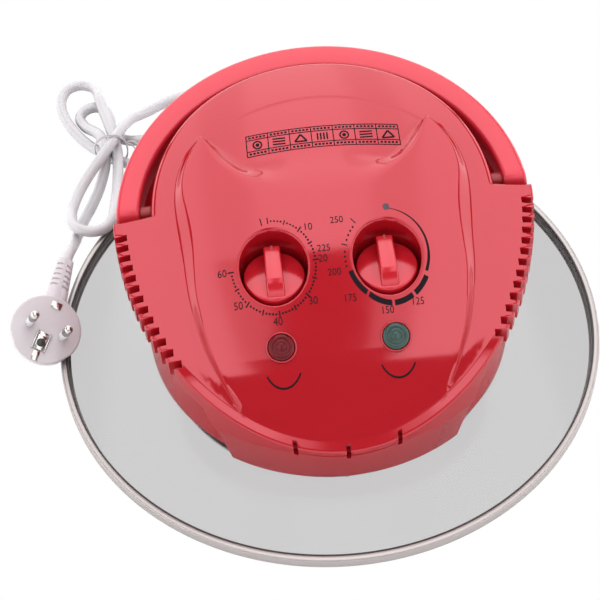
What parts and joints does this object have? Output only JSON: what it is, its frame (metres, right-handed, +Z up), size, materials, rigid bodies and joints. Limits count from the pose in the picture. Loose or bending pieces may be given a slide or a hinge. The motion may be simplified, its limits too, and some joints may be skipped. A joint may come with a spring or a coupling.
{
  "type": "halogen oven lid unit",
  "caption": "Round glass cooker lid with a heating and fan head, folding switch handle, two control knobs, lamp ring below and a tied mains lead.",
  "frame": {"origin": "centre of the lid on the table it rests on", "axes": "+Z up, front with the knobs towards -Y, +X to the right seen from the front"},
  "size_m": [0.3142, 0.3686, 0.1342],
  "materials": {
    "glass": "clear tempered glass",
    "rim_steel": "bright rolled stainless band",
    "seal_black": "black silicone seal",
    "seal_red": "soft red brown silicone",
    "steel": "zinc plated steel",
    "bright_pan": "polished reflector sheet",
    "guard": "pressed steel sheet",
    "quartz": "clear quartz tube",
    "tungsten": "dull coiled wire",
    "ceramic": "white steatite ceramic",
    "fan_alu": "pressed sheet blades",
    "brass": "turned brass",
    "red_gloss": "glossy deep red moulding",
    "switch_black": "black moulding",
    "button_red": "small moulded plunger",
    "cam_white": "white nylon",
    "laminations": "stacked laminations",
    "copper": "enamelled copper winding",
    "nylon": "natural nylon",
    "lens_red": "dark red lens",
    "lens_dark": "dark lens",
    "neon": "neon bulb and holder",
    "fuse_tan": "fibreglass sleeve",
    "wires": "insulated wire",
    "cord_white": "white sheathed lead",
    "tie_white": "coated wire",
    "plug_white": "white moulded plug",
    "plug_metal": "nickel plated"
  },
  "bodies": {
    "lid": {"glass_lid": "glass", "lid_rim": "rim_steel", "rim_gasket": "seal_black", "hub_gaskets": "seal_red", "hub_plate": "steel", "hub_screws": "steel", "reflector_pan": "bright_pan", "heater_guard": "guard", "guard_screws": "steel", "halogen_lamp": "quartz", "lamp_filament": "tungsten", "lamp_holders": "ceramic", "lower_housing": "red_gloss", "upper_housing": "red_gloss", "housing_screws": "steel", "micro_switch": "switch_black", "motor_stator": "laminations", "motor_coil": "copper", "motor_brackets": "steel", "motor_posts": "nylon", "motor_screws": "steel", "heat_shield": "bright_pan", "timer_body": "cam_white", "thermostat_body": "steel", "thermostat_bulb": "copper", "control_screws": "steel", "power_lens": "lens_red", "heat_lens": "lens_dark", "neon_lamps": "neon", "thermal_fuse": "fuse_tan", "terminal_block": "ceramic", "mains_wires": "wires", "cord_grommet": "cord_white", "cord_lead": "cord_white", "cord_hank": "cord_white", "cord_tail": "cord_white", "cord_tie": "tie_white", "plug_body": "plug_white", "plug_pins": "plug_metal", "plug_earth_clips": "plug_metal"},
    "handle": {"handle": "red_gloss", "handle_pins": "steel", "switch_cam": "cam_white"},
    "switch_button": {"switch_plunger": "button_red"},
    "time_dial": {"time_knob": "red_gloss", "timer_shaft": "steel"},
    "temp_dial": {"temp_knob": "red_gloss", "thermostat_shaft": "steel"},
    "fan_rotor": {"motor_rotor": "laminations", "motor_shaft": "steel", "cooling_fan": "nylon", "convection_fan": "fan_alu", "fan_nut": "brass"}
  },
  "joints": [
    {"name": "handle_hinge", "type": "hinge", "parent": "lid", "child": "handle", "pos_m": [0, 0.01, 0.11124], "axis": [1, 0, 0], "range_deg": [0, 90]},
    {"name": "switch_travel", "type": "slide", "parent": "lid", "child": "switch_button", "axis": [0, 0, 1], "range_m": [0, 0.0015]},
    {"name": "time_turn", "type": "hinge", "parent": "lid", "child": "time_dial", "pos_m": [-0.0276, -0.0318, 0.10397], "axis": [0, 0, 1], "range_deg": [-270, 0]},
    {"name": "temp_turn", "type": "hinge", "parent": "lid", "child": "temp_dial", "pos_m": [0.0276, -0.0318, 0.10397], "axis": [0, 0, 1], "range_deg": [-300, 0]},
    {"name": "fan_spin", "type": "hinge", "parent": "lid", "child": "fan_rotor", "pos_m": [0, 0, 0.057], "axis": [0, 0, 1], "continuous": true}
  ],
  "couplings": [
    {"joint": "switch_travel", "follows": "handle_hinge", "m_per_rad": 0.00095483}
  ]
}
